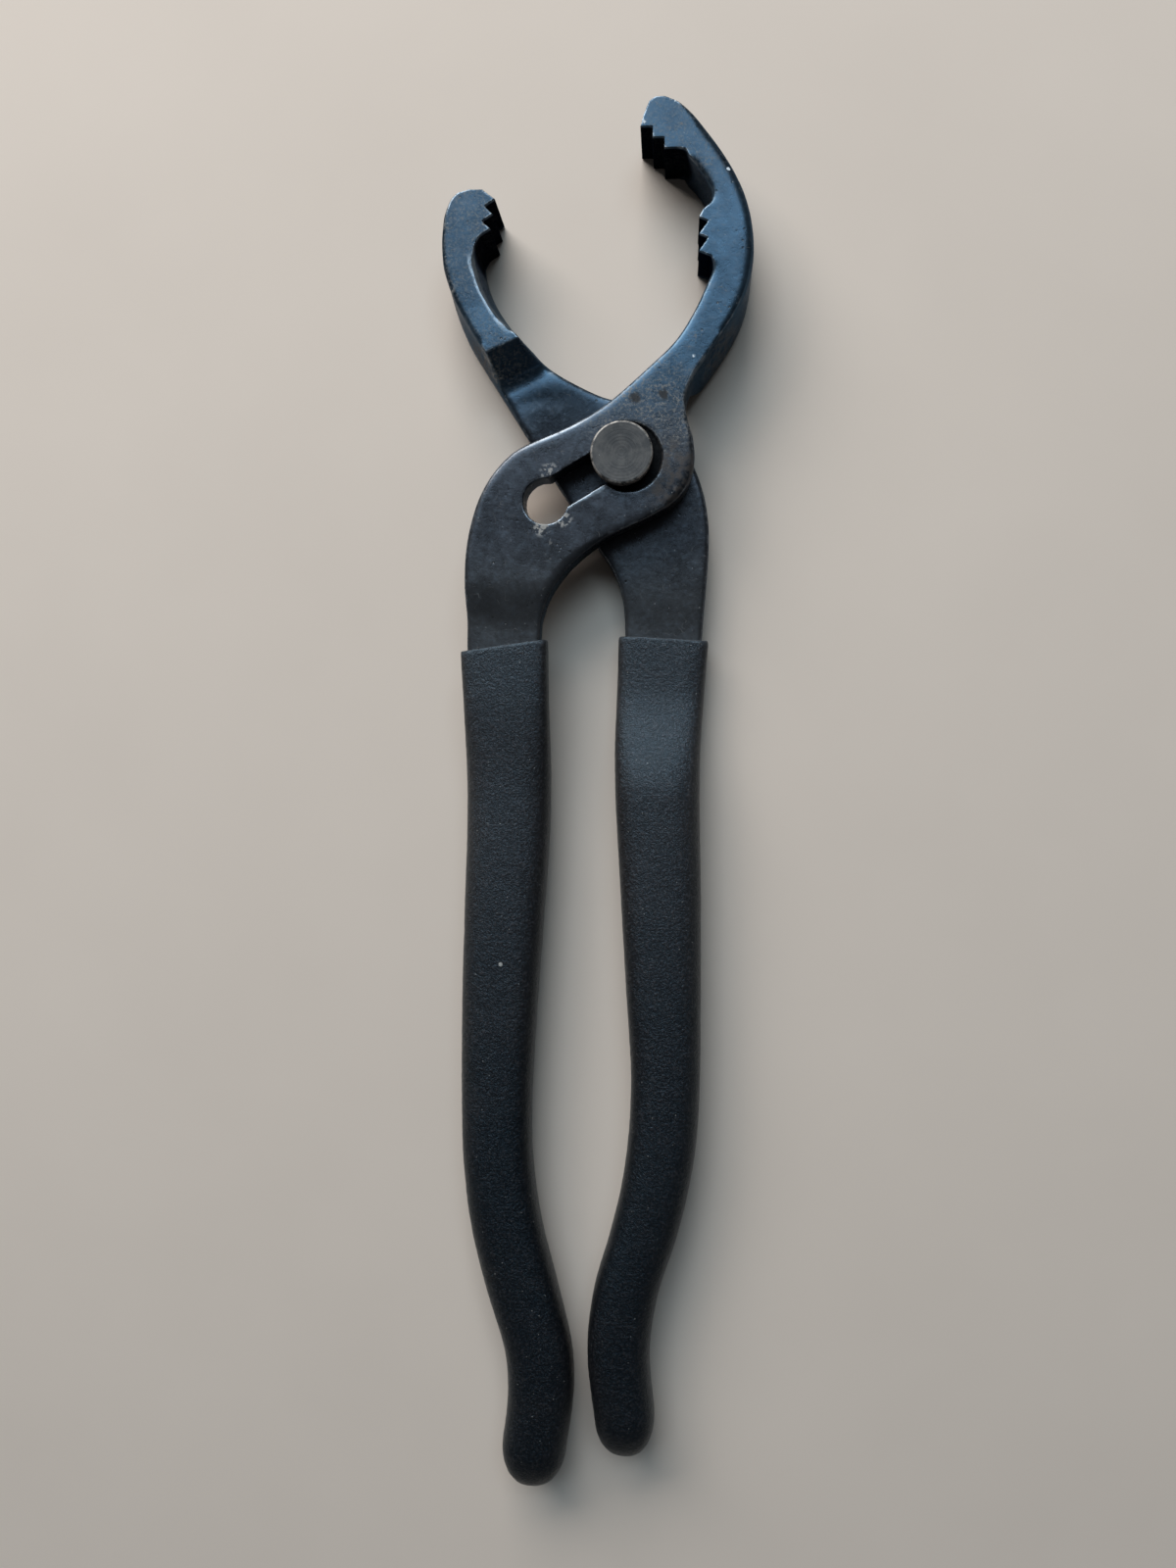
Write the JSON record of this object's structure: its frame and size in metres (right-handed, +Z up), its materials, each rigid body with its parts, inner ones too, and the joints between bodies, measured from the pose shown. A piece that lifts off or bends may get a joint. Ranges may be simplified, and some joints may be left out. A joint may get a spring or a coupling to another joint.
{
  "type": "oil filter pliers",
  "caption": "Long slip-joint pliers with curved toothed jaws for gripping round canisters, a riveted pivot that shifts along a slot, and soft sleeves over the handles.",
  "frame": {"origin": "on the rivet axis, at the underside of the rivet tail, which is flush with the resting plane", "axes": "+X across the handles toward the long jaw's side, +Y from the joint toward the jaw tips, +Z up through the rivet head"},
  "size_m": [0.0656, 0.3044, 0.018],
  "materials": {
    "upper_lever": "black oxide, satin",
    "lower_lever": "black oxide, satin",
    "rivet": "turned, dark",
    "washer": "plain",
    "upper_grip": "matte, fine grit",
    "lower_grip": "matte, fine grit"
  },
  "bodies": {
    "upper_arm": {"upper_lever": "upper_lever", "upper_grip": "upper_grip"},
    "rivet": {"rivet": "rivet", "washer": "washer"},
    "lower_arm": {"lower_lever": "lower_lever", "lower_grip": "lower_grip"}
  },
  "joints": [
    {"name": "slot_shift", "type": "hinge", "parent": "upper_arm", "child": "rivet", "pos_m": [0.08923, -0.17325, 0], "axis": [0, 0, 1], "range_deg": [0, 5.5]},
    {"name": "lever_pivot", "type": "hinge", "parent": "rivet", "child": "lower_arm", "pos_m": [0, 0, 0], "axis": [0, 0, 1], "range_deg": [-0.5, 36]}
  ]
}
